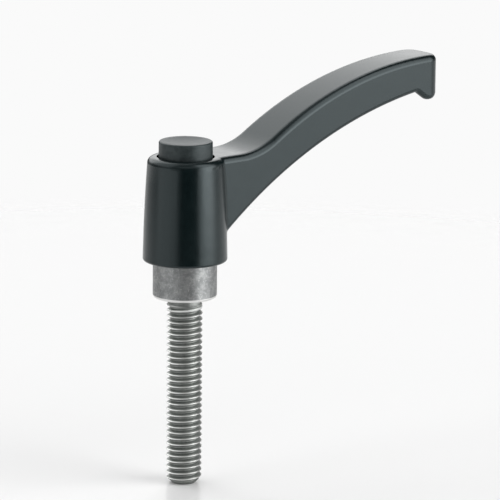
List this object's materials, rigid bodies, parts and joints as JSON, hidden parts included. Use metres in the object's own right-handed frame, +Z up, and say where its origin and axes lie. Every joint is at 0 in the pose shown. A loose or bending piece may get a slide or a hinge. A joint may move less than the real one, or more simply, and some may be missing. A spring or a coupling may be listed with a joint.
{
  "type": "adjustable clamping lever",
  "caption": "Adjustable clamping lever: cast arm and hub with a push button, on a serrated steel insert with a threaded stud.",
  "frame": {"origin": "middle of the collar's clamping face, on the stud's axis", "axes": "+Z up along the stud's axis to the button, the stud hangs along -Z, +X out along the arm"},
  "size_m": [0.0597, 0.0142, 0.0684],
  "materials": {
    "die_cast_black": "satin powder coat",
    "button_black": "moulded, fine matt",
    "sintered_steel": "tumbled sintered steel",
    "zinc_plated_steel": "rolled thread, bright zinc",
    "hardened_steel": "oiled steel",
    "spring_steel": "drawn wire"
  },
  "bodies": {
    "insert": {"serrated_insert": "sintered_steel", "threaded_stud": "zinc_plated_steel", "retaining_screw": "zinc_plated_steel", "stop_washer": "zinc_plated_steel", "retaining_ring": "spring_steel", "return_spring": "spring_steel"},
    "handle": {"lever": "die_cast_black"},
    "button": {"push_button": "button_black", "coupling_sleeve": "hardened_steel"}
  },
  "joints": [
    {"name": "lever_turn", "type": "hinge", "parent": "insert", "child": "handle", "pos_m": [0, 0, 0], "axis": [0, 0, 1], "continuous": true},
    {"name": "button_press", "type": "slide", "parent": "handle", "child": "button", "axis": [0, 0, -1], "range_m": [0, 0.0022], "stiffness_N_per_m": 300, "springref_m": -0.0033, "deforming": ["return_spring"]}
  ]
}
